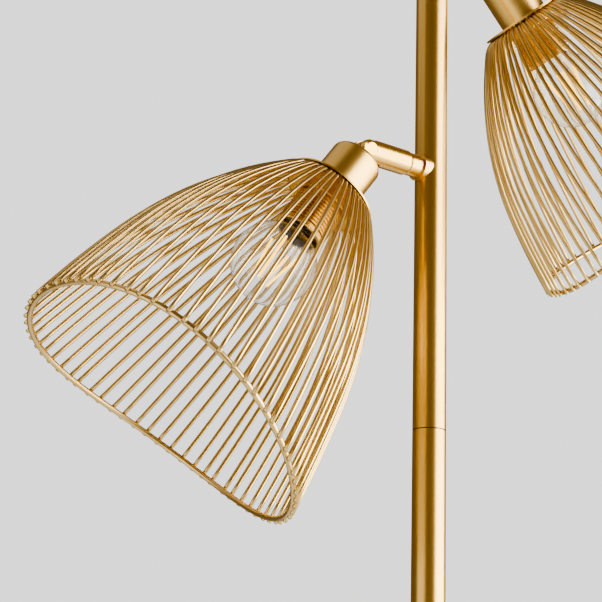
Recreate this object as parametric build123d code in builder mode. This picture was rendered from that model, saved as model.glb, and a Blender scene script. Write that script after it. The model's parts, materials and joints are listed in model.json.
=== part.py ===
from build123d import *
from math import atan2, cos, degrees, pi, radians, sin, sqrt, tan
import os

# Floor lamp with a straight pole and two bell-shaped wire cage shades on short arms.
# Millimetres, +Z up, origin at the centre of the base on the floor.
# The low head reaches along -X and the high head along +X.

os.makedirs("parts", exist_ok=True)

# ---------------------------------------------------------------- driving dimensions

# Round base
base_radius = 140.0
base_height = 22.0
cover_wall = 1.0
cover_edge_radius = 5.0
cover_lift = 1.0
pad_radius = 132.0
pad_height = 2.0
weight_radius = 136.0
weight_top = 17.0
boss_radius = 30.0
nut_recess_radius = 16.0
nut_recess_height = 8.0
cord_channel_width = 12.0
cord_channel_height = 12.0
stud_radius = 5.0
stud_bore_radius = 3.2
base_nut_flats = 17.0
base_nut_height = 5.0
nut_washer_height = 1.5
nut_washer_clearance = 2.0
stud_foot_gap = 1.0
collar_radius = 17.0
collar_height = 9.0
collar_band_height = 3.0
collar_neck_wall = 3.0
collar_edge_radius = 1.2
grommet_height = 9.0
grommet_hole_radius = 4.0
grommet_bore_radius = 2.6
grommet_flange_radius = 5.5
grommet_flange_thickness = 1.6
grommet_inner_gap = 0.15

# Pole of three screwed tubes
pole_radius = 9.0
pole_bore_radius = 7.8
low_arm_height = 1300.0
arm_spacing = 144.0
seam_below_low_arm = 148.3
pole_top = 1492.0
seam_thickness = 0.6
seam_radius = 8.7
joiner_length = 40.0
joiner_bore_radius = 5.5
plug_height = 12.0
cap_radius = 9.6
cap_rim_height = 2.0
cap_dome_height = 5.0
cap_plug_depth = 12.0

# Arm: fixed stub, then a barrel that swivels about the arm
stub_radius = 6.3
seam_reach = 18.7
swivel_gap = 0.2
flange_radius = 7.8
flange_reach = 10.0
nipple_radius = 4.0
nipple_bore_radius = 2.8
nipple_start = 6.5
nipple_end = 28.0
running_clearance = 0.05
locknut_flats = 9.8
locknut_start = 22.0
locknut_length = 4.0
barrel_radius = 6.95
barrel_front_wall = 3.0
barrel_bore_radius = 5.85
barrel_end = 36.5
shoulder_radius = 0.9

# Knuckle: fork on the barrel, tang on the shade
pivot_reach = 47.2
fork_spigot_length = 6.0
fork_lead_hole_radius = 2.6
fork_taper_start = 42.2
fork_taper_end = 44.5
ear_radius = 5.4
slot_half_width = 2.8
slot_start = 37.8
screw_radius = 2.0
screw_head_radius = 3.5
screw_seat = 5.5
seat_depth = 2.0
screw_head_height = 1.3
screw_slot_width = 0.8
screw_slot_depth = 0.5
tang_half_width = 1.6
tang_radius = 5.0
washer_radius = 4.4
washer_gap = 0.05

# Rest pose: shade tilt from the arm axis, and turn of the barrel about it
low_tilt = 56.0
low_swivel = -9.1
high_tilt = 51.1
high_swivel = -8.4

# Cup and lampholder, as distances from the pivot along the shade axis
cup_top = 7.1
cup_radius = 14.55
cup_wall = 1.2
cup_top_wall = 2.5
cup_edge_radius = 3.0
disc_top = 36.1
disc_bottom = 37.1
disc_radius = 26.5
stem_radius = 4.0
stem_end = 20.0
stem_bore_radius = 2.0
holder_top = 15.5
holder_shoulder_radius = 13.1
holder_radius = 12.0
holder_bore_radius = 10.6
holder_bore_start = 18.5
holder_end = 58.0
insert_start = 24.0
insert_end = 28.0
contact_end = 50.0
contact_inner_radius = 8.1
contact_outer_radius = 9.1
shade_ring_radius = 15.2
shade_ring_end = 44.5
shade_ring_edge_radius = 0.8
skirt_radius = 13.0
skirt_end = 66.1
rib_radius = 13.8
rib_root_radius = 12.8
rib_pitch = 2.0
rib_count = 9
first_rib = 46.0
rib_crest = 1.1
lip_length = 2.0

# Wire cage: a bell of separate wires, each of three arcs in a plane that leans to one side
wire_count = 66
wire_radius = 1.1
wire_slant = 4.6
rim_rod_radius = 1.5
cage_depth = 149.7
disc_plane = 34.9
wire_start_radius = 23.6
wire_start_depth = 3.35
wire_start_angle = 74.0
shoulder_arc_radius = 13.0
shoulder_arc_turn = 37.4
wall_arc_radius = 238.0
wall_arc_turn = 24.2
wire_end_angle = 7.9
wire_overhang = 0.9
weld_gap = 0.02
cage_collar_radius = 23.27

# Golf-ball bulb with an E14 cap
globe_radius = 22.5
globe_depth = 88.5
glass_wall = 0.7
neck_radius = 6.9
neck_arc_radius = 20.0
neck_start = 52.0
cap_shell_radius = 7.1
cap_shell_start = 34.5
cap_tip_radius = 2.4
cap_tip_height = 0.8
cap_shoulder_radius = 6.3
cap_lip_length = 1.5
bulb_tip = 31.0
stem_flare_radius = 4.6
stem_rod_radius = 1.5
stem_flare_end = 66.0
stem_rod_end = 78.0
support_radius = 0.35
support_end = 100.0
filament_count = 4
filament_radius = 0.75
filament_near_depth = 76.0
filament_near_radius = 9.5
filament_far_depth = 102.0
filament_far_radius = 4.8


def band(start, end, inner, outer):
    """Rectangle of a turned piece's half section: along the axis, then its two radii."""
    with Locations((start, inner)):
        Rectangle(end - start, outer - inner, align=(Align.MIN, Align.MIN))


# ---------------------------------------------------------------- base

with BuildPart() as base_pad:
    with BuildSketch(Plane.XY):
        Circle(pad_radius)
    extrude(amount=pad_height)
base_pad.part.label = "base_pad"
export_step(base_pad.part, "parts/base_pad.step")

# Cast disc that keeps the lamp upright, with a boss under the cover,
# a recess for the nut and a channel that leads the cord to the middle
with BuildPart() as base_weight:
    with BuildSketch(Plane.XY.offset(pad_height)):
        Circle(weight_radius)
    extrude(amount=weight_top - pad_height)
    with BuildSketch(Plane.XY.offset(weight_top)):
        Circle(boss_radius)
    extrude(amount=base_height - cover_wall - weight_top)
    with BuildSketch(Plane.XY.offset(pad_height)):
        Circle(nut_recess_radius)
    extrude(amount=nut_recess_height, mode=Mode.SUBTRACT)
    with BuildSketch(Plane.XY.offset(pad_height)):
        with Locations((0, weight_radius / 2)):
            Rectangle(cord_channel_width, weight_radius)
    extrude(amount=cord_channel_height, mode=Mode.SUBTRACT)
    with BuildSketch(Plane.XY):
        Circle(stud_radius)
    extrude(amount=base_height, mode=Mode.SUBTRACT)
base_weight.part.label = "base_weight"
export_step(base_weight.part, "parts/base_weight.step")

# Pressed sheet cover, open below
with BuildPart() as base_cover:
    with BuildSketch(Plane.XY.offset(cover_lift)):
        Circle(base_radius)
    extrude(amount=base_height - cover_lift)
    fillet(base_cover.edges().group_by(Axis.Z)[-1], radius=cover_edge_radius)
    offset(amount=-cover_wall, openings=base_cover.faces().sort_by(Axis.Z)[0])
    with BuildSketch(Plane.XY):
        Circle(stud_radius)
    extrude(amount=base_height, mode=Mode.SUBTRACT)
    with BuildSketch(Plane.XZ.offset(-base_radius)):
        with Locations((0, grommet_height)):
            Circle(grommet_hole_radius)
    extrude(amount=2 * cover_wall, mode=Mode.SUBTRACT)
base_cover.part.label = "base_cover"
export_step(base_cover.part, "parts/base_cover.step")

# Rubber ring in the cover's wall where the cord enters
grommet_section = Plane(origin=(0, 0, grommet_height), x_dir=(0, 1, 0), z_dir=(1, 0, 0))
inner_face = base_radius - cover_wall
inner_end = inner_face - grommet_flange_thickness
outer_end = base_radius + grommet_flange_thickness
with BuildPart() as cord_grommet:
    with BuildSketch(grommet_section):
        band(inner_end, outer_end, grommet_bore_radius, grommet_hole_radius)
        band(base_radius, outer_end, grommet_bore_radius, grommet_flange_radius)
        band(inner_end, inner_face - grommet_inner_gap, grommet_bore_radius, grommet_flange_radius)
    revolve(axis=Axis((0, 0, grommet_height), (0, 1, 0)))
cord_grommet.part.label = "cord_grommet"
export_step(cord_grommet.part, "parts/cord_grommet.step")

# Hollow threaded stud from the nut up into the pole's plug
stud_start = pad_height + stud_foot_gap
with BuildPart() as base_stud:
    with BuildSketch(Plane.XY.offset(stud_start)):
        Circle(stud_radius)
        Circle(stud_bore_radius, mode=Mode.SUBTRACT)
    extrude(amount=base_height + plug_height - stud_start)
base_stud.part.label = "base_stud"
export_step(base_stud.part, "parts/base_stud.step")

with BuildPart() as base_nut:
    with BuildSketch(Plane.XY.offset(pad_height + nut_recess_height - base_nut_height)):
        RegularPolygon(base_nut_flats / 2, 6, major_radius=False)
        Circle(stud_radius, mode=Mode.SUBTRACT)
    extrude(amount=base_nut_height - nut_washer_height)
    with BuildSketch(Plane.XY.offset(pad_height + nut_recess_height - nut_washer_height)):
        Circle(nut_recess_radius - nut_washer_clearance)
        Circle(stud_radius, mode=Mode.SUBTRACT)
    extrude(amount=nut_washer_height)
base_nut.part.label = "base_nut"
export_step(base_nut.part, "parts/base_nut.step")

# Turned collar round the foot of the pole
with BuildPart() as foot_collar:
    with BuildSketch(Plane.XZ):
        with BuildLine():
            Polyline(
                (pole_radius, base_height),
                (collar_radius, base_height),
                (collar_radius, base_height + collar_band_height),
                (pole_radius + collar_neck_wall, base_height + collar_height),
                (pole_radius, base_height + collar_height),
                close=True,
            )
        make_face()
    revolve(axis=Axis.Z)
    band_edges = foot_collar.edges().filter_by(GeomType.CIRCLE).group_by(Axis.Z)[1]
    fillet(band_edges, radius=collar_edge_radius)
foot_collar.part.label = "foot_collar"
export_step(foot_collar.part, "parts/foot_collar.step")

# ---------------------------------------------------------------- pole

high_arm_height = low_arm_height + arm_spacing
upper_seam = low_arm_height - seam_below_low_arm
lower_seam = (base_height + upper_seam) / 2
half_seam = seam_thickness / 2

with BuildPart() as lower_pole:
    with BuildSketch(Plane.XY.offset(base_height)):
        Circle(pole_radius)
        Circle(pole_bore_radius, mode=Mode.SUBTRACT)
    extrude(amount=lower_seam - half_seam - base_height)
lower_pole.part.label = "lower_pole"
export_step(lower_pole.part, "parts/lower_pole.step")

# Steel plug fixed in the foot of the pole, tapped for the stud
with BuildPart() as pole_plug:
    with BuildSketch(Plane.XY.offset(base_height)):
        Circle(pole_bore_radius)
        Circle(stud_radius, mode=Mode.SUBTRACT)
    extrude(amount=plug_height)
pole_plug.part.label = "pole_plug"
export_step(pole_plug.part, "parts/pole_plug.step")

with BuildPart() as middle_pole:
    with BuildSketch(Plane.XY.offset(lower_seam + half_seam)):
        Circle(pole_radius)
        Circle(pole_bore_radius, mode=Mode.SUBTRACT)
    extrude(amount=upper_seam - lower_seam - seam_thickness)
middle_pole.part.label = "middle_pole"
export_step(middle_pole.part, "parts/middle_pole.step")

# Screwed sleeves that join the tubes, each with a thin flange that shows as the seam
for joiner_name, joiner_height in (("lower_joiner", lower_seam), ("upper_joiner", upper_seam)):
    with BuildPart() as joiner:
        with BuildSketch(Plane.XY.offset(joiner_height - joiner_length / 2)):
            Circle(pole_bore_radius)
        extrude(amount=joiner_length)
        with BuildSketch(Plane.XY.offset(joiner_height - half_seam)):
            Circle(seam_radius)
        extrude(amount=seam_thickness)
        with BuildSketch(Plane.XY.offset(joiner_height - joiner_length / 2)):
            Circle(joiner_bore_radius)
        extrude(amount=joiner_length, mode=Mode.SUBTRACT)
    joiner.part.label = joiner_name
    export_step(joiner.part, f"parts/{joiner_name}.step")

# Top tube, with a hole on each side for the arms
with BuildPart() as upper_pole:
    with BuildSketch(Plane.XY.offset(upper_seam + half_seam)):
        Circle(pole_radius)
        Circle(pole_bore_radius, mode=Mode.SUBTRACT)
    extrude(amount=pole_top - upper_seam - half_seam)
    with BuildSketch(Plane.YZ):
        with Locations((0, high_arm_height)):
            Circle(nipple_radius)
    extrude(amount=pole_radius, mode=Mode.SUBTRACT)
    with BuildSketch(Plane.YZ):
        with Locations((0, low_arm_height)):
            Circle(nipple_radius)
    extrude(amount=-pole_radius, mode=Mode.SUBTRACT)
upper_pole.part.label = "upper_pole"
export_step(upper_pole.part, "parts/upper_pole.step")

# Cap with a low dome and a plug that sits in the tube
cap_rim_top = pole_top + cap_rim_height
dome_radius = (cap_radius**2 + cap_dome_height**2) / (2 * cap_dome_height)
dome_centre = cap_rim_top + cap_dome_height - dome_radius
dome_start = degrees(atan2(dome_radius - cap_dome_height, cap_radius))
with BuildPart() as top_cap:
    with BuildSketch(Plane.XZ):
        with BuildLine():
            dome = CenterArc((0, dome_centre), dome_radius, dome_start, 90 - dome_start)
            Polyline(
                dome @ 1,
                (0, pole_top - cap_plug_depth),
                (pole_bore_radius, pole_top - cap_plug_depth),
                (pole_bore_radius, pole_top),
                (cap_radius, pole_top),
                dome @ 0,
            )
        make_face()
    revolve(axis=Axis.Z)
top_cap.part.label = "top_cap"
export_step(top_cap.part, "parts/top_cap.step")

# ---------------------------------------------------------------- heads

# The last arc of a cage wire falls by what the first two leave, and the rim sits inside the wires
second_angle = wire_start_angle - shoulder_arc_turn
third_angle = second_angle - wall_arc_turn
shoulder_fall = shoulder_arc_radius * (sin(radians(wire_start_angle)) - sin(radians(second_angle)))
wall_fall = wall_arc_radius * (sin(radians(second_angle)) - sin(radians(third_angle)))
wire_fall = (cage_depth + wire_overhang - wire_start_depth) / cos(radians(wire_slant))
fall_left = wire_fall - shoulder_fall - wall_fall
hem_arc_radius = fall_left / (sin(radians(third_angle)) - sin(radians(wire_end_angle)))
hem_arc_turn = third_angle - wire_end_angle
wire_end_radius = (
    wire_start_radius
    + shoulder_arc_radius * (cos(radians(second_angle)) - cos(radians(wire_start_angle)))
    + wall_arc_radius * (cos(radians(third_angle)) - cos(radians(second_angle)))
    + hem_arc_radius * (cos(radians(wire_end_angle)) - cos(radians(third_angle)))
)
wire_drift = (cage_depth - wire_start_depth) * tan(radians(wire_slant))
wire_reach_at_rim = wire_end_radius - wire_overhang * sin(radians(wire_end_angle))
wire_radius_at_rim = sqrt(wire_reach_at_rim**2 + wire_drift**2)
rim_offset = (wire_radius + rim_rod_radius + weld_gap) / cos(radians(wire_end_angle))
rim_radius = wire_radius_at_rim - rim_offset
wire_spacing = 2 * pi * wire_start_radius / wire_count
print(f"rim centreline radius {rim_radius:.2f}, wire radius at rim {wire_radius_at_rim:.2f}")
print(f"gap between wires at their start {wire_spacing * cos(radians(wire_slant)) - 2 * wire_radius:.3f}")

heads = (
    ("low", Vector(-1, 0, 0), low_arm_height, low_tilt, low_swivel),
    ("high", Vector(1, 0, 0), high_arm_height, high_tilt, high_swivel),
)

for head, arm, arm_height, tilt, swivel in heads:
    # Planes of the arm: x along the arm, y up; the barrel's plane is turned about the arm,
    # and the shade's plane is turned about the pivot so that x runs from pivot to rim
    up = Vector(0, 0, 1)
    root = Vector(0, 0, arm_height)
    barrel_up = up.rotate(Axis((0, 0, 0), arm), swivel)
    side = arm.cross(barrel_up)
    pivot = root + arm * pivot_reach
    shade_axis = arm * cos(radians(tilt)) - barrel_up * sin(radians(tilt))
    shade_out = arm * sin(radians(tilt)) + barrel_up * cos(radians(tilt))
    arm_plane = Plane(origin=root, x_dir=arm, z_dir=arm.cross(up))
    barrel_plane = Plane(origin=root, x_dir=arm, z_dir=side)
    shade_plane = Plane(origin=pivot, x_dir=shade_axis, z_dir=side)
    arm_line = Axis(root, arm)
    shade_line = Axis(pivot, shade_axis)
    print(head, "pivot", pivot, "shade axis", shade_axis, "pivot axis", side)

    # Thin ring that covers the hole in the pole, saddled on the tube
    with BuildPart() as arm_flange:
        with BuildSketch(arm_plane):
            band(nipple_radius, flange_reach, stub_radius, flange_radius)
        revolve(axis=arm_line)
        with BuildSketch(Plane.XY.offset(arm_height - 2 * flange_radius)):
            Circle(pole_radius)
        extrude(amount=4 * flange_radius, mode=Mode.SUBTRACT)
    arm_flange.part.label = f"{head}_arm_flange"
    export_step(arm_flange.part, f"parts/{head}_arm_flange.step")

    # Fixed stub that stands out from the pole
    with BuildPart() as arm_stub:
        with BuildSketch(arm_plane):
            band(nipple_radius, seam_reach - swivel_gap / 2, nipple_radius, stub_radius)
        revolve(axis=arm_line)
        front_edges = arm_stub.edges().filter_by(GeomType.CIRCLE).sort_by(arm_line)[-2:]
        fillet(front_edges.sort_by(SortBy.LENGTH)[-1], radius=shoulder_radius)
        with BuildSketch(Plane.XY.offset(arm_height - 2 * flange_radius)):
            Circle(pole_radius)
        extrude(amount=4 * flange_radius, mode=Mode.SUBTRACT)
    arm_stub.part.label = f"{head}_arm_stub"
    export_step(arm_stub.part, f"parts/{head}_arm_stub.step")

    # Hollow nipple: screwed through the pole and the stub, it carries the barrel
    with BuildPart() as swivel_nipple:
        with BuildSketch(arm_plane):
            band(nipple_start, nipple_end, nipple_bore_radius, nipple_radius)
        revolve(axis=arm_line)
    swivel_nipple.part.label = f"{head}_swivel_nipple"
    export_step(swivel_nipple.part, f"parts/{head}_swivel_nipple.step")

    # Locknut inside the barrel that sets the swivel's friction
    with BuildPart() as swivel_locknut:
        with BuildSketch(Plane(origin=root + arm * locknut_start, x_dir=up, z_dir=arm)):
            RegularPolygon(locknut_flats / 2, 6, major_radius=False)
            Circle(nipple_radius, mode=Mode.SUBTRACT)
        extrude(amount=locknut_length)
    swivel_locknut.part.label = f"{head}_swivel_locknut"
    export_step(swivel_locknut.part, f"parts/{head}_swivel_locknut.step")

    # Barrel: tube with a front wall that turns on the nipple
    barrel_start = seam_reach + swivel_gap / 2
    with BuildPart() as barrel:
        with BuildSketch(barrel_plane):
            band(barrel_start, barrel_end, barrel_bore_radius, barrel_radius)
            band(
                barrel_start,
                barrel_start + barrel_front_wall,
                nipple_radius + running_clearance,
                barrel_radius,
            )
        revolve(axis=arm_line)
        back_edges = barrel.edges().filter_by(GeomType.CIRCLE).sort_by(arm_line)[:2]
        fillet(back_edges.sort_by(SortBy.LENGTH)[-1], radius=shoulder_radius)
    barrel.part.label = f"{head}_barrel"
    export_step(barrel.part, f"parts/{head}_barrel.step")

    # Fork screwed into the barrel, with two round-ended ears and a slot between them
    with BuildPart() as fork:
        with BuildSketch(barrel_plane):
            band(barrel_end - fork_spigot_length, barrel_end, fork_lead_hole_radius, barrel_bore_radius)
            band(barrel_end, pivot_reach + ear_radius, 0, barrel_radius)
        revolve(axis=arm_line)
        with BuildSketch(barrel_plane):
            with BuildLine():
                ear_end = ThreePointArc(
                    (pivot_reach, -ear_radius),
                    (pivot_reach + ear_radius, 0),
                    (pivot_reach, ear_radius),
                )
                Polyline(
                    ear_end @ 1,
                    (fork_taper_end, ear_radius),
                    (fork_taper_start, barrel_radius),
                    (barrel_end - fork_spigot_length, barrel_radius),
                    (barrel_end - fork_spigot_length, -barrel_radius),
                    (fork_taper_start, -barrel_radius),
                    (fork_taper_end, -ear_radius),
                    ear_end @ 0,
                )
            make_face()
        extrude(amount=barrel_radius, both=True, mode=Mode.INTERSECT)
        with BuildSketch(barrel_plane):
            with Locations((slot_start, 0)):
                Rectangle(pivot_reach, 2 * barrel_radius, align=(Align.MIN, Align.CENTER))
        extrude(amount=slot_half_width, both=True, mode=Mode.SUBTRACT)
        with BuildSketch(barrel_plane):
            with Locations((barrel_end, 0)):
                Rectangle(
                    slot_start - barrel_end,
                    2 * fork_lead_hole_radius,
                    align=(Align.MIN, Align.CENTER),
                )
        extrude(amount=fork_lead_hole_radius, both=True, mode=Mode.SUBTRACT)
        with BuildSketch(barrel_plane):
            with Locations((pivot_reach, 0)):
                Circle(screw_radius)
        extrude(amount=barrel_radius, both=True, mode=Mode.SUBTRACT)
        for seat, seat_cut in ((screw_seat, seat_depth), (-screw_seat, -seat_depth)):
            with BuildSketch(barrel_plane.offset(seat)):
                with Locations((pivot_reach, 0)):
                    Circle(screw_head_radius)
            extrude(amount=seat_cut, mode=Mode.SUBTRACT)
    fork.part.label = f"{head}_fork"
    export_step(fork.part, f"parts/{head}_fork.step")

    # Pivot screw with a slotted head in one ear
    with BuildPart() as pivot_screw:
        with BuildSketch(barrel_plane.offset(-screw_seat - screw_head_height)):
            with Locations((pivot_reach, 0)):
                Circle(screw_radius)
        extrude(amount=2 * screw_seat + screw_head_height)
        with BuildSketch(barrel_plane.offset(screw_seat)):
            with Locations((pivot_reach, 0)):
                Circle(screw_head_radius)
        extrude(amount=screw_head_height)
        with BuildSketch(barrel_plane.offset(screw_seat + screw_head_height - screw_slot_depth)):
            with Locations(Location((pivot_reach, 0), 30)):
                Rectangle(2 * screw_head_radius, screw_slot_width)
        extrude(amount=screw_slot_depth, mode=Mode.SUBTRACT)
    pivot_screw.part.label = f"{head}_pivot_screw"
    export_step(pivot_screw.part, f"parts/{head}_pivot_screw.step")

    # Round nut on the screw in the other ear
    with BuildPart() as pivot_nut:
        with BuildSketch(barrel_plane.offset(-screw_seat)):
            with Locations((pivot_reach, 0)):
                Circle(screw_head_radius)
                Circle(screw_radius, mode=Mode.SUBTRACT)
        extrude(amount=-screw_head_height)
    pivot_nut.part.label = f"{head}_pivot_nut"
    export_step(pivot_nut.part, f"parts/{head}_pivot_nut.step")

    # Friction washers between the ears and the tang
    washer_thickness = slot_half_width - tang_half_width - washer_gap
    washers = ((slot_half_width, -washer_thickness), (-slot_half_width, washer_thickness))
    with BuildPart() as knuckle_washers:
        for face, thickness in washers:
            with BuildSketch(barrel_plane.offset(face)):
                with Locations((pivot_reach, 0)):
                    Circle(washer_radius)
                    Circle(screw_radius, mode=Mode.SUBTRACT)
            extrude(amount=thickness)
    knuckle_washers.part.label = f"{head}_knuckle_washers"
    export_step(knuckle_washers.part, f"parts/{head}_knuckle_washers.step")

    # Tang: flat blade on the pivot and a hollow threaded stem that holds cup and lampholder
    with BuildPart() as tang:
        with BuildSketch(shade_plane):
            Circle(tang_radius)
            Rectangle(cup_top, 2 * tang_radius, align=(Align.MIN, Align.CENTER))
            Circle(screw_radius + running_clearance, mode=Mode.SUBTRACT)
        extrude(amount=tang_half_width, both=True)
        with BuildSketch(shade_plane):
            band(cup_top, stem_end, stem_bore_radius, stem_radius)
        revolve(axis=shade_line)
    tang.part.label = f"{head}_tang"
    export_step(tang.part, f"parts/{head}_tang.step")

    # Cup over the back of the lampholder
    with BuildPart() as cup:
        with BuildSketch(shade_plane):
            band(cup_top, disc_top, stem_radius, cup_radius)
        revolve(axis=shade_line)
        top_edges = cup.edges().filter_by(GeomType.CIRCLE).sort_by(shade_line)[:2]
        fillet(top_edges.sort_by(SortBy.LENGTH)[-1], radius=cup_edge_radius)
        with BuildSketch(shade_plane):
            band(cup_top + cup_top_wall, disc_top, 0, cup_radius - cup_wall)
        revolve(axis=shade_line, mode=Mode.SUBTRACT)
    cup.part.label = f"{head}_cup"
    export_step(cup.part, f"parts/{head}_cup.step")

    # Thin disc between the cup and the cage
    with BuildPart() as top_disc:
        with BuildSketch(shade_plane):
            band(disc_top, disc_bottom, holder_radius, disc_radius)
        revolve(axis=shade_line)
    top_disc.part.label = f"{head}_top_disc"
    export_step(top_disc.part, f"parts/{head}_top_disc.step")

    # Lampholder body: hollow moulding with a shoulder above the disc
    with BuildPart() as lampholder_body:
        with BuildSketch(shade_plane):
            band(holder_top, disc_top, stem_radius, holder_shoulder_radius)
            band(disc_top, holder_end, stem_radius, holder_radius)
        revolve(axis=shade_line)
        with BuildSketch(shade_plane):
            band(holder_bore_start, holder_end, 0, holder_bore_radius)
        revolve(axis=shade_line, mode=Mode.SUBTRACT)
    lampholder_body.part.label = f"{head}_lampholder_body"
    export_step(lampholder_body.part, f"parts/{head}_lampholder_body.step")

    # Insert with the centre contact and the contact sleeve round the bulb's cap
    with BuildPart() as lampholder_insert:
        with BuildSketch(shade_plane):
            band(insert_start, insert_end, 0, holder_bore_radius)
            band(insert_end, bulb_tip, 0, cap_tip_radius)
            band(insert_end, contact_end, contact_inner_radius, contact_outer_radius)
        revolve(axis=shade_line)
    lampholder_insert.part.label = f"{head}_lampholder_insert"
    export_step(lampholder_insert.part, f"parts/{head}_lampholder_insert.step")

    # Smooth ring nut that clamps cage and disc to the lampholder
    with BuildPart() as shade_ring:
        with BuildSketch(shade_plane):
            band(disc_bottom + 2 * wire_radius, shade_ring_end, holder_radius, shade_ring_radius)
        revolve(axis=shade_line)
        lower_edges = shade_ring.edges().filter_by(GeomType.CIRCLE).sort_by(shade_line)[-2:]
        fillet(lower_edges.sort_by(SortBy.LENGTH)[-1], radius=shade_ring_edge_radius)
    shade_ring.part.label = f"{head}_shade_ring"
    export_step(shade_ring.part, f"parts/{head}_shade_ring.step")

    # Ribbed skirt screwed on the lampholder, with a plain lip at its mouth
    with BuildPart() as lampholder_skirt:
        with BuildSketch(shade_plane):
            band(shade_ring_end, skirt_end, holder_radius, skirt_radius)
            band(skirt_end - lip_length, skirt_end, holder_radius, rib_radius)
            for rib in range(rib_count):
                rib_start = first_rib + rib * rib_pitch
                with BuildLine():
                    Polyline(
                        (rib_start - rib_crest / 2, rib_root_radius),
                        (rib_start, rib_radius),
                        (rib_start + rib_crest / 2, rib_radius),
                        (rib_start + rib_crest, rib_root_radius),
                        close=True,
                    )
                make_face()
        revolve(axis=shade_line)
    lampholder_skirt.part.label = f"{head}_lampholder_skirt"
    export_step(lampholder_skirt.part, f"parts/{head}_lampholder_skirt.step")

    # Flat collar on the inner ends of the cage wires
    with BuildPart() as cage_collar:
        with BuildSketch(shade_plane):
            band(disc_bottom, disc_bottom + 2 * wire_radius, holder_radius, cage_collar_radius)
        revolve(axis=shade_line)
    cage_collar.part.label = f"{head}_cage_collar"
    export_step(cage_collar.part, f"parts/{head}_cage_collar.step")

    # One wire of the cage, swept along three arcs in a plane that leans about the wire's start
    wire_along = shade_axis * cos(radians(wire_slant)) - side * sin(radians(wire_slant))
    start_depth = disc_plane + wire_start_depth
    wire_start = pivot + shade_axis * start_depth + shade_out * wire_start_radius
    wire_plane = Plane(origin=wire_start, x_dir=wire_along, z_dir=wire_along.cross(shade_out))
    start_direction = (cos(radians(wire_start_angle)), sin(radians(wire_start_angle)))
    start_normal = wire_along * start_direction[0] + shade_out * start_direction[1]
    with BuildPart() as wire:
        with BuildLine(wire_plane):
            shoulder_arc = JernArc(
                start=(0, 0),
                tangent=start_direction,
                radius=shoulder_arc_radius,
                arc_size=-shoulder_arc_turn,
            )
            wall_arc = JernArc(
                start=shoulder_arc @ 1,
                tangent=shoulder_arc % 1,
                radius=wall_arc_radius,
                arc_size=-wall_arc_turn,
            )
            JernArc(
                start=wall_arc @ 1,
                tangent=wall_arc % 1,
                radius=hem_arc_radius,
                arc_size=-hem_arc_turn,
            )
        with BuildSketch(Plane(origin=wire_start, x_dir=wire_plane.z_dir, z_dir=start_normal)):
            Circle(wire_radius)
        sweep()

    # The cage: the same wire all round the shade axis
    with BuildPart() as cage_wires:
        for number in range(wire_count):
            add(wire.part.rotate(shade_line, 360 * number / wire_count), clean=False)
    cage_wires.part.label = f"{head}_cage_wires"
    export_step(cage_wires.part, f"parts/{head}_cage_wires.step")

    # Round rod that closes the cage, inside the ends of the wires
    with BuildPart() as cage_rim:
        with BuildSketch(shade_plane):
            with Locations((disc_plane + cage_depth, rim_radius)):
                Circle(rim_rod_radius)
        revolve(axis=shade_line)
    cage_rim.part.label = f"{head}_cage_rim"
    export_step(cage_rim.part, f"parts/{head}_cage_rim.step")

    # Bulb: screw cap with its centre contact
    with BuildPart() as bulb_cap:
        with BuildSketch(shade_plane):
            with BuildLine():
                Polyline(
                    (bulb_tip, 0),
                    (bulb_tip, cap_tip_radius),
                    (bulb_tip + cap_tip_height, cap_tip_radius),
                    (cap_shell_start, cap_shoulder_radius),
                    (cap_shell_start, cap_shell_radius),
                    (neck_start + cap_lip_length, cap_shell_radius),
                    (neck_start + cap_lip_length, neck_radius),
                    (neck_start, neck_radius),
                    (neck_start, 0),
                    close=True,
                )
            make_face()
        revolve(axis=shade_line)
    bulb_cap.part.label = f"{head}_bulb_cap"
    export_step(bulb_cap.part, f"parts/{head}_bulb_cap.step")

    # Glass: neck arc tangent to the neck and to the globe, as a thin closed shell
    neck_centre_radius = neck_radius + neck_arc_radius
    centre_distance = globe_radius + neck_arc_radius
    neck_centre_depth = globe_depth - (centre_distance**2 - neck_centre_radius**2) ** 0.5
    join_angle = degrees(atan2(neck_centre_radius, globe_depth - neck_centre_depth))
    with BuildPart() as bulb_glass:
        for wall, mode in ((0, Mode.ADD), (glass_wall, Mode.SUBTRACT)):
            foot_depth = neck_start + 2 * wall
            with BuildSketch(shade_plane):
                with BuildLine():
                    neck_arc = CenterArc(
                        (neck_centre_depth, neck_centre_radius),
                        neck_arc_radius + wall,
                        -90,
                        90 - join_angle,
                    )
                    globe_arc = CenterArc((globe_depth, 0), globe_radius - wall, 0, 180 - join_angle)
                    Polyline(
                        globe_arc @ 0,
                        (foot_depth, 0),
                        (foot_depth, neck_radius - wall),
                        neck_arc @ 0,
                    )
                make_face()
            revolve(axis=shade_line, mode=mode)
    bulb_glass.part.label = f"{head}_bulb_glass"
    export_step(bulb_glass.part, f"parts/{head}_bulb_glass.step")

    # Glass stem inside the bulb, with thin wires that hold the filaments
    flare_start = neck_start + 2 * glass_wall
    with BuildPart() as bulb_stem:
        with BuildSketch(shade_plane):
            with BuildLine():
                Polyline(
                    (flare_start, 0),
                    (flare_start, stem_flare_radius),
                    (stem_flare_end, stem_rod_radius),
                    (stem_rod_end, stem_rod_radius),
                    (stem_rod_end, 0),
                    close=True,
                )
            make_face()
        revolve(axis=shade_line)
        with BuildSketch(shade_plane):
            band(stem_rod_end, support_end, 0, support_radius)
        revolve(axis=shade_line)
    bulb_stem.part.label = f"{head}_bulb_stem"
    export_step(bulb_stem.part, f"parts/{head}_bulb_stem.step")

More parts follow.
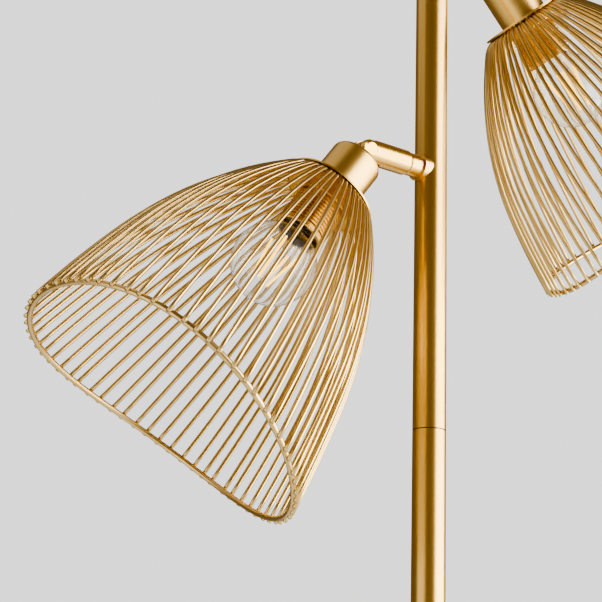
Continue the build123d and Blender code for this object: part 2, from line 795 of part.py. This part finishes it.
    # Straight yellow filament rods, spread round the stem
    near_point = pivot + shade_axis * filament_near_depth + shade_out * filament_near_radius
    far_point = pivot + shade_axis * filament_far_depth + shade_out * filament_far_radius
    with BuildPart() as filament:
        with BuildSketch(Plane(origin=near_point, x_dir=side, z_dir=far_point - near_point)):
            Circle(filament_radius)
        extrude(amount=(far_point - near_point).length)
    with BuildPart() as bulb_filaments:
        for number in range(filament_count):
            add(filament.part.rotate(shade_line, 360 * (number + 0.5) / filament_count))
    bulb_filaments.part.label = f"{head}_bulb_filaments"
    export_step(bulb_filaments.part, f"parts/{head}_bulb_filaments.step")
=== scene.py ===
import bpy
import bmesh
import json
import random
from math import atan2, cos, hypot, pi, radians, sin, tau
from mathutils import Matrix, Vector


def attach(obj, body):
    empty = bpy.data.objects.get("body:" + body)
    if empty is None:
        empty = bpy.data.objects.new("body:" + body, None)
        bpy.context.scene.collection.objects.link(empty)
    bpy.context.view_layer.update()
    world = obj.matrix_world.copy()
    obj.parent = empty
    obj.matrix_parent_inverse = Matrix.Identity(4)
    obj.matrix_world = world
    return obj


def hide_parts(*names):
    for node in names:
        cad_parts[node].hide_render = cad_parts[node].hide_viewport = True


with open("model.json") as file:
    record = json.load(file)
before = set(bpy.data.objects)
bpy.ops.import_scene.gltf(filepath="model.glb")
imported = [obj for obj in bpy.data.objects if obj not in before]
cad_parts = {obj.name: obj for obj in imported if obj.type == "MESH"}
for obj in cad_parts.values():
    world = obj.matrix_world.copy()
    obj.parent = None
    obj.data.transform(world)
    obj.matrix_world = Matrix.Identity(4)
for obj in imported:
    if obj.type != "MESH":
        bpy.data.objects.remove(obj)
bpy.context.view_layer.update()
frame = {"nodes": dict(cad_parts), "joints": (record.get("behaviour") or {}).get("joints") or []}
nodes = frame["nodes"]
joints = {joint["name"]: joint for joint in frame["joints"]}
heads = ("low", "high")

# ---------------------------------------------------------------- shared tools
# Lengths are in metres. Every finish is built from the same few nodes: noise, a ramp
# between two tones, and a bump.
plain_detail = 2


def add_object(name, data):
    """New object in the scene."""
    item = bpy.data.objects.new(name, data)
    bpy.context.scene.collection.objects.link(item)
    return item


def new_material(name, metallic=0.0, roughness=0.5):
    """New material, with its node tree and its main shader."""
    material = bpy.data.materials.new(name)
    material.use_nodes = True
    tree = material.node_tree
    shader = tree.nodes["Principled BSDF"]
    shader.inputs["Metallic"].default_value = metallic
    shader.inputs["Roughness"].default_value = roughness
    return material, tree, shader


def noise(tree, scale, detail=plain_detail, where=None):
    """Noise texture, read at real size where a coordinate node is given, else over the piece's box."""
    texture = tree.nodes.new("ShaderNodeTexNoise")
    texture.inputs["Scale"].default_value = scale
    texture.inputs["Detail"].default_value = detail
    if where:
        tree.links.new(where.outputs["Object"], texture.inputs["Vector"])
    return texture


def two_tones(tree, shader, texture, dark, light, start=0.0, end=1.0):
    """Colours the shader from dark to light over a stretch of the texture's values."""
    tone = tree.nodes.new("ShaderNodeValToRGB")
    for element, place_on_ramp, colour in zip(tone.color_ramp.elements, (start, end), (dark, light)):
        element.position = place_on_ramp
        element.color = (*colour, 1)
    tree.links.new(texture.outputs["Fac"], tone.inputs["Fac"])
    tree.links.new(tone.outputs["Color"], shader.inputs["Base Color"])


def raise_surface(tree, shader, texture, strength, height):
    """Bumps the surface by the texture."""
    bump = tree.nodes.new("ShaderNodeBump")
    bump.inputs["Strength"].default_value = strength
    bump.inputs["Distance"].default_value = height
    tree.links.new(texture.outputs["Fac"], bump.inputs["Height"])
    tree.links.new(bump.outputs["Normal"], shader.inputs["Normal"])


def dress(node_names, material):
    """Gives whole nodes one finish."""
    for node_name in node_names:
        node = nodes[node_name]
        node.data.materials.clear()
        node.data.materials.append(material)


# ---------------------------------------------------------------- camera
# The picture was taken from below the low shade, looking up at the two heads. The camera
# stands in front and to the left of the pole, about 0.8 m away.
picture_width = 602
focal_pixels = 1526.7
sensor_width_mm = 36.0
camera_x = -0.5245
camera_y = -0.6075
camera_below_low_arm = 0.3158
camera_heading = radians(54.23)
camera_pitch = radians(16.54)
camera_roll = radians(1.80)

low_arm_height = joints["low_shade_tilt"]["pos_m"][2]
heading = Vector((cos(camera_heading), sin(camera_heading), 0))
level_right = Vector((sin(camera_heading), -cos(camera_heading), 0))
looking = heading * cos(camera_pitch) + Vector((0, 0, sin(camera_pitch)))
level_up = Vector((0, 0, cos(camera_pitch))) - heading * sin(camera_pitch)
picture_right = level_right * cos(camera_roll) + level_up * sin(camera_roll)
picture_up = level_up * cos(camera_roll) - level_right * sin(camera_roll)

camera_data = bpy.data.cameras.new("photo_camera")
camera_data.sensor_width = sensor_width_mm
camera_data.lens = sensor_width_mm * focal_pixels / picture_width
camera = add_object("photo_camera", camera_data)
turn = Matrix((picture_right, picture_up, -looking)).transposed().to_4x4()
place = Vector((camera_x, camera_y, low_arm_height - camera_below_low_arm))
camera.matrix_world = Matrix.Translation(place) @ turn
bpy.context.scene.camera = camera

# ---------------------------------------------------------------- pole
# Three steel tubes in a satin gold lacquer, screwed end to end. The lacquer is fine
# grained and almost even; the joint between two tubes shows as a dark hairline.
lacquer_gold = (0.84, 0.56, 0.19)
lacquer_deep = (0.79, 0.51, 0.155)
coat_weight = 0.5
coat_roughness = 0.25
cloud_detail = 3
cloud_start = 0.35
cloud_end = 0.65
gloss_change = 0.05
grain_height = 0.00005


def gold_lacquer(name, light, deep, roughness, grain, grain_size, cloud_size):
    """Satin gold: two close tones in soft clouds, and a fine grain in gloss and height."""
    material, tree, shader = new_material(name, metallic=1.0)
    shader.inputs["Coat Weight"].default_value = coat_weight
    shader.inputs["Coat Roughness"].default_value = coat_roughness
    where = tree.nodes.new("ShaderNodeTexCoord")
    cloud = noise(tree, 1 / cloud_size, cloud_detail, where)
    two_tones(tree, shader, cloud, deep, light, cloud_start, cloud_end)

    speck = noise(tree, 1 / grain_size, where=where)
    gloss = tree.nodes.new("ShaderNodeMapRange")
    gloss.inputs["To Min"].default_value = roughness - gloss_change
    gloss.inputs["To Max"].default_value = roughness + gloss_change
    tree.links.new(speck.outputs["Fac"], gloss.inputs["Value"])
    tree.links.new(gloss.outputs["Result"], shader.inputs["Roughness"])
    raise_surface(tree, shader, speck, grain, grain_height)
    return material


tube_gold = gold_lacquer(
    "tube_gold", lacquer_gold, lacquer_deep, roughness=0.30, grain=0.25, grain_size=0.0006, cloud_size=0.09
)
dress(("lower_pole", "middle_pole", "upper_pole", "top_cap", "foot_collar"), tube_gold)

stain_scale = 400
seam_dark, tree, shader = new_material("seam_dark", metallic=0.7)
stain = noise(tree, stain_scale)
two_tones(tree, shader, stain, (0.06, 0.035, 0.012), (0.16, 0.095, 0.03))
dress(("lower_joiner", "upper_joiner"), seam_dark)

# ---------------------------------------------------------------- base
# A pressed steel cover in the pole's lacquer over a rough cast disc, on a black felt
# pad, with a rubber grommet for the cord and zinc-plated fixings underneath.
spot_detail = 5
spot_start = 0.3
spot_end = 0.7
spot_bump = 0.5


def rough_solid(name, dark, light, metallic, roughness, spot_size, height):
    """Plain mottled finish for hidden and under-side pieces."""
    material, tree, shader = new_material(name, metallic, roughness)
    where = tree.nodes.new("ShaderNodeTexCoord")
    spots = noise(tree, 1 / spot_size, spot_detail, where)
    two_tones(tree, shader, spots, dark, light, spot_start, spot_end)
    raise_surface(tree, shader, spots, spot_bump, height)
    return material


cast_iron = rough_solid(
    "cast_iron", (0.012, 0.012, 0.013), (0.035, 0.035, 0.037),
    metallic=0.6, roughness=0.65, spot_size=0.003, height=0.0003,
)
black_felt = rough_solid(
    "black_felt", (0.006, 0.006, 0.007), (0.02, 0.02, 0.022),
    metallic=0.0, roughness=0.95, spot_size=0.0008, height=0.0004,
)
black_rubber = rough_solid(
    "black_rubber", (0.008, 0.008, 0.008), (0.02, 0.02, 0.02),
    metallic=0.0, roughness=0.6, spot_size=0.002, height=0.0001,
)
zinc = rough_solid(
    "zinc", (0.42, 0.42, 0.43), (0.60, 0.60, 0.60),
    metallic=1.0, roughness=0.38, spot_size=0.002, height=0.00005,
)
dress(("base_cover",), tube_gold)
dress(("base_weight",), cast_iron)
dress(("base_pad",), black_felt)
dress(("cord_grommet",), black_rubber)
dress(("base_stud", "base_nut", "pole_plug"), zinc)

# ---------------------------------------------------------------- arms and knuckles
# Turned brass pieces in the same gold: a thin ring and a stub on the pole, the barrel
# that turns on it, and the fork with its pivot screw and dark friction washers.
turned_gold = gold_lacquer(
    "turned_gold", lacquer_gold, (0.78, 0.50, 0.15),
    roughness=0.28, grain=0.2, grain_size=0.0005, cloud_size=0.03,
)
for head in heads:
    dress((f"{head}_arm_flange", f"{head}_arm_stub", f"{head}_barrel", f"{head}_fork"), turned_gold)
    dress((f"{head}_tang", f"{head}_pivot_screw", f"{head}_pivot_nut"), turned_gold)
    dress((f"{head}_swivel_nipple", f"{head}_swivel_locknut"), zinc)
    dress((f"{head}_knuckle_washers",), seam_dark)

# ---------------------------------------------------------------- cup and disc
# A deep drawn cup hides the back of the lampholder, and a thin disc under it presses
# on the cage. Both are in the satin lacquer, a little finer than on the tubes.
cup_gold = gold_lacquer(
    "cup_gold", lacquer_gold, lacquer_deep, roughness=0.33, grain=0.2, grain_size=0.0005, cloud_size=0.05
)
for head in heads:
    dress((f"{head}_cup", f"{head}_top_disc", f"{head}_cage_collar"), cup_gold)

# ---------------------------------------------------------------- wire cage
# Steel wires of 2.2 mm, bent to one bell profile and set a little aslant, welded to a
# collar under the disc and to the outside of a 3 mm rim rod, then lacquered gold. The
# welding has pulled each rim out of true, and the wires aren't perfectly even.
wire_count = 66
wire_radius = 0.0011
wire_slant = radians(4.6)
wire_sides = 8
disc_depth = 0.0349
start_radius = 0.0236
start_depth = 0.00335
start_angle = radians(74.0)
profile_arcs = ((0.0130, radians(37.4)), (0.2380, radians(24.2)), (0.6800, radians(4.5)))
steps_per_arc = (6, 12, 5)

rim_rod_radius = 0.0015
rim_radius = 0.0801
rim_depth = 0.1497
rim_sides = 14
rim_steps = 240
weld_radius = 0.0012
weld_smoothness = 2
weld_above_rim = 0.0004

# How uneven the wires are: their spacing at the rim and how far their top ends slip round
# the collar, in degrees, how far they bow out or in, and the size of the weld spots
spacing_scatter = 0.45
top_slip_scatter = 0.5
bow_scatter = 0.00035
weld_sizes = (0.85, 1.1)

# How each rim has been pulled: sideways, along the axis in one, two and three waves round
# it (cos and sin), how much fuller the wires are half way, and where the first wire meets
# the rim, in degrees
pulls = {
    "low": {
        "sideways": (-0.0005, 0.0022),
        "waves": ((-0.0013, 0.0015), (-0.0054, -0.0045), (-0.0007, -0.0005)),
        "fuller": 0.0,
        "first_wire": 3.2,
    },
    "high": {
        "sideways": (0.0019, -0.0030),
        "waves": ((-0.0010, -0.0016), (0.0007, -0.0010), (0.0011, -0.0030)),
        "fuller": 0.0025,
        "first_wire": 2.0,
    },
}

wire_gold = gold_lacquer(
    "wire_gold", (0.82, 0.60, 0.27), (0.76, 0.54, 0.22),
    roughness=0.30, grain=0.0, grain_size=0.0030, cloud_size=0.05,
)


def bell_profile():
    """Points (depth below the disc plane, radius, turn about the axis) along a wire."""
    fall, reach, angle = 0, start_radius, start_angle
    points = [(start_depth, start_radius, 0)]
    for (arc_radius, arc_turn), steps in zip(profile_arcs, steps_per_arc):
        for _ in range(steps):
            next_angle = angle - arc_turn / steps
            reach += arc_radius * (cos(next_angle) - cos(angle))
            fall += arc_radius * (sin(angle) - sin(next_angle))
            angle = next_angle
            drift = fall * sin(wire_slant)
            depth = start_depth + fall * cos(wire_slant)
            points.append((depth, hypot(reach, drift), -atan2(drift, reach)))
    return points


def tube(mesh, path, radius, sides, closed):
    """Adds a round tube along a path of points to a mesh under construction."""
    rings = []
    count = len(path)
    normal = None
    for index, point in enumerate(path):
        if closed:
            direction = path[(index + 1) % count] - path[index - 1]
        else:
            direction = path[min(index + 1, count - 1)] - path[max(index - 1, 0)]
        direction.normalize()
        if normal is None:
            normal = direction.orthogonal().normalized()
        normal = (normal - direction * normal.dot(direction)).normalized()
        across = direction.cross(normal)
        ring = []
        for side in range(sides):
            angle = tau * side / sides
            ring.append(mesh.verts.new(point + (normal * cos(angle) + across * sin(angle)) * radius))
        rings.append(ring)
    pairs = range(count) if closed else range(count - 1)
    for index in pairs:
        here, there = rings[index], rings[(index + 1) % count]
        shift = 0
        if closed and index == count - 1:
            shift = min(range(sides), key=lambda s: (here[0].co - there[s].co).length)
        for side in range(sides):
            corners = (
                here[side],
                here[(side + 1) % sides],
                there[(side + 1 + shift) % sides],
                there[(side + shift) % sides],
            )
            mesh.faces.new(corners)
    if not closed:
        mesh.faces.new(reversed(rings[0]))
        mesh.faces.new(rings[-1])


def finish_piece(mesh, name, material, body):
    """Turns a mesh under construction into a smooth piece that rides on a body."""
    bmesh.ops.recalc_face_normals(mesh, faces=mesh.faces)
    data = bpy.data.meshes.new(name)
    mesh.to_mesh(data)
    mesh.free()
    data.shade_smooth()
    data.materials.append(material)
    piece = add_object(name, data)
    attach(piece, body)
    return piece


def middle(node_name):
    """Average of a node's vertices."""
    corners = nodes[node_name].data.vertices
    total = Vector((0, 0, 0))
    for corner in corners:
        total += corner.co
    return total / len(corners)


def make_cage(head, pull):
    """Wires, weld spots and rim rod of one head, all pulled out of true together."""
    pivot = Vector(joints[f"{head}_shade_tilt"]["pos_m"])
    axis = (middle(f"{head}_cage_rim") - pivot).normalized()
    # Two directions square to the axis: angles round the cage start at the first, which is level
    first = axis.cross(Vector((0, 0, 1))).normalized()
    second = axis.cross(first)
    sideways = first * pull["sideways"][0] + second * pull["sideways"][1]
    chance = random.Random(f"{head} cage")

    def on_cage(depth, radius, angle):
        """Point of the pulled cage; the pull grows from nothing at the disc to all at the rim."""
        share = max(depth / rim_depth, 0)
        lean = 0
        for number, (in_cos, in_sin) in enumerate(pull["waves"], start=1):
            lean += in_cos * cos(number * angle) + in_sin * sin(number * angle)
        bulged = radius + pull["fuller"] * sin(pi * min(share, 1))
        outward = first * cos(angle) + second * sin(angle)
        along = disc_depth + depth + lean * share**2
        return pivot + axis * along + outward * bulged + sideways * share

    profile = bell_profile()
    end_depth, _, end_turn = profile[-1]
    wires = bmesh.new()
    welds = bmesh.new()
    for number in range(wire_count):
        even_angle = radians(pull["first_wire"]) + tau * number / wire_count
        angle = even_angle + radians(chance.gauss(0, spacing_scatter))
        top_slip = radians(chance.gauss(0, top_slip_scatter))
        bow = chance.gauss(0, bow_scatter)
        path = []
        for depth, radius, turn_back in profile:
            share = depth / end_depth
            turned = angle + turn_back - end_turn + top_slip * (1 - share)
            path.append(on_cage(depth, radius + bow * sin(pi * share), turned))
        tube(wires, path, wire_radius, wire_sides, closed=False)
        contact = on_cage(rim_depth - weld_above_rim, rim_radius + rim_rod_radius, angle)
        spot_radius = weld_radius * chance.uniform(*weld_sizes)
        bead = bmesh.ops.create_icosphere(welds, subdivisions=weld_smoothness, radius=spot_radius)
        bmesh.ops.translate(welds, verts=bead["verts"], vec=contact)
    cage = finish_piece(wires, f"{head}_cage", wire_gold, f"{head}_shade")
    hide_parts(f"{head}_cage_wires")
    weld_spots = finish_piece(welds, f"{head}_weld_spots", wire_gold, f"{head}_shade")

    rod = bmesh.new()
    loop = [on_cage(rim_depth, rim_radius, tau * step / rim_steps) for step in range(rim_steps)]
    tube(rod, loop, rim_rod_radius, rim_sides, closed=True)
    rim = finish_piece(rod, f"{head}_rim", wire_gold, f"{head}_shade")
    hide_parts(f"{head}_cage_rim")


for head in heads:
    make_cage(head, pulls[head])

# ---------------------------------------------------------------- lampholder
# The ring nut and the ribbed skirt are turned brass in a glossier gold, painted darker for the shade that
# falls on them inside the cage. The body and the insert behind the bulb's cap are moulded in ivory
# plastic.
# Painted shade: this gold is darker than the lacquer to stand for the shade inside the cage.
shaded_holder_gold = gold_lacquer(
    "shaded_holder_gold", (0.74, 0.46, 0.14), (0.64, 0.38, 0.10),
    roughness=0.24, grain=0.2, grain_size=0.0006, cloud_size=0.02,
)
ivory = rough_solid(
    "ivory", (0.62, 0.58, 0.46), (0.70, 0.66, 0.54),
    metallic=0.0, roughness=0.35, spot_size=0.01, height=0.00005,
)
for head in heads:
    dress((f"{head}_shade_ring", f"{head}_lampholder_skirt"), shaded_holder_gold)
    dress((f"{head}_lampholder_body", f"{head}_lampholder_insert"), ivory)

# ---------------------------------------------------------------- bulb
# Clear blown glass round a pressed glass stem. Four straight rods coated in yellow
# phosphor lean round the stem, given a faint painted glow, and the screw cap is plain aluminium.
glass_ior = 1.46
ripple_scale = 35
ripple_bump = 0.05
ripple_height = 0.0001
painted_filament_glow = 1.5
phosphor_grain_scale = 900

clear_glass, tree, shader = new_material("clear_glass", roughness=0.0)
shader.inputs["Base Color"].default_value = (0.97, 0.98, 0.97, 1)
shader.inputs["Transmission Weight"].default_value = 1.0
shader.inputs["IOR"].default_value = glass_ior
ripple = noise(tree, ripple_scale)
raise_surface(tree, shader, ripple, ripple_bump, ripple_height)

phosphor_with_painted_glow, tree, shader = new_material("phosphor_with_painted_glow", roughness=0.55)
# Painted glow: the unlit phosphor rods are made to shine a little on their own.
shader.inputs["Emission Color"].default_value = (1.0, 0.58, 0.08, 1)
shader.inputs["Emission Strength"].default_value = painted_filament_glow
grains = noise(tree, phosphor_grain_scale)
two_tones(tree, shader, grains, (0.80, 0.36, 0.03), (0.95, 0.55, 0.09))

cap_metal = rough_solid(
    "cap_metal", (0.60, 0.59, 0.56), (0.75, 0.74, 0.71),
    metallic=1.0, roughness=0.3, spot_size=0.004, height=0.00005,
)
for head in heads:
    dress((f"{head}_bulb_glass", f"{head}_bulb_stem"), clear_glass)
    dress((f"{head}_bulb_filaments",), phosphor_with_painted_glow)
    dress((f"{head}_bulb_cap",), cap_metal)

# ---------------------------------------------------------------- studio
# A pale floor and a pale room. A wall of soft window light stands to the right and a
# weaker, lower one to the left, with a faint one high on the left. A dim brown tent
# round them all shows in reflections alone and gives the metal its dark side.
room_brightness = 0.68
picture_exposure = 0.45
floor_reach = 3.0
floor_tone = 0.55
tent_radius = 3.4
tent_segments = 32
tent_rings = 16
tent_glow = 0.10

world = bpy.data.worlds.new("pale_room")
world.use_nodes = True
bpy.context.scene.world = world
wall = world.node_tree.nodes["Background"]
wall.inputs["Color"].default_value = (1.0, 1.0, 0.995, 1)
wall.inputs["Strength"].default_value = room_brightness
view = bpy.context.scene.view_settings
view.view_transform = "AgX"
view.look = "AgX - High Contrast"
view.exposure = picture_exposure

floor_corners = [(-1, -1), (1, -1), (1, 1), (-1, 1)]
floor_points = [(x * floor_reach, y * floor_reach, 0) for x, y in floor_corners]
floor_mesh = bpy.data.meshes.new("floor")
floor_mesh.from_pydata(floor_points, [], [(0, 1, 2, 3)])
floor = add_object("floor", floor_mesh)
floor_paint, tree, shader = new_material("floor_paint", roughness=0.8)
shader.inputs["Base Color"].default_value = (floor_tone, floor_tone, floor_tone, 1)
floor_mesh.materials.append(floor_paint)

aim = Vector((0, 0, low_arm_height))
towards_camera = atan2(place.y, place.x)


def around(azimuth, elevation, distance):
    """Point seen from the heads at an angle to the right of the camera, in degrees."""
    angle = towards_camera + radians(azimuth)
    level = cos(radians(elevation)) * distance
    return aim + Vector((cos(angle) * level, sin(angle) * level, sin(radians(elevation)) * distance))


def soft_window(name, azimuth, elevation, distance, width, height, glow):
    """Rectangular soft light that faces the heads; glow is its brightness as a mirror sees it."""
    light = bpy.data.lights.new(name, "AREA")
    light.shape = "RECTANGLE"
    light.size = width
    light.size_y = height
    light.energy = glow * pi * width * height
    lamp = add_object(name, light)
    lamp.location = around(azimuth, elevation, distance)
    lamp.rotation_euler = (aim - lamp.location).to_track_quat("-Z", "Y").to_euler()


soft_window("window_right", azimuth=86, elevation=0, distance=1.9, width=2.9, height=2.5, glow=3.0)
soft_window("window_left", azimuth=-50, elevation=-14, distance=2.1, width=2.2, height=1.5, glow=0.70)
soft_window("window_left_high", azimuth=-80, elevation=55, distance=2.0, width=2.4, height=2.4, glow=0.28)

tent_paint, tree, shader = new_material("tent_paint", roughness=0.9)
shader.inputs["Base Color"].default_value = (0.02, 0.012, 0.006, 1)
shader.inputs["Emission Color"].default_value = (1.0, 0.78, 0.50, 1)
shader.inputs["Emission Strength"].default_value = tent_glow
tent_mesh = bmesh.new()
bmesh.ops.create_uvsphere(tent_mesh, u_segments=tent_segments, v_segments=tent_rings, radius=tent_radius)
tent_data = bpy.data.meshes.new("tent")
tent_mesh.to_mesh(tent_data)
tent_mesh.free()
tent_data.materials.append(tent_paint)
tent = add_object("tent", tent_data)
tent.location = aim
tent.visible_camera = False
tent.visible_diffuse = False
tent.visible_shadow = False
tent.visible_transmission = False
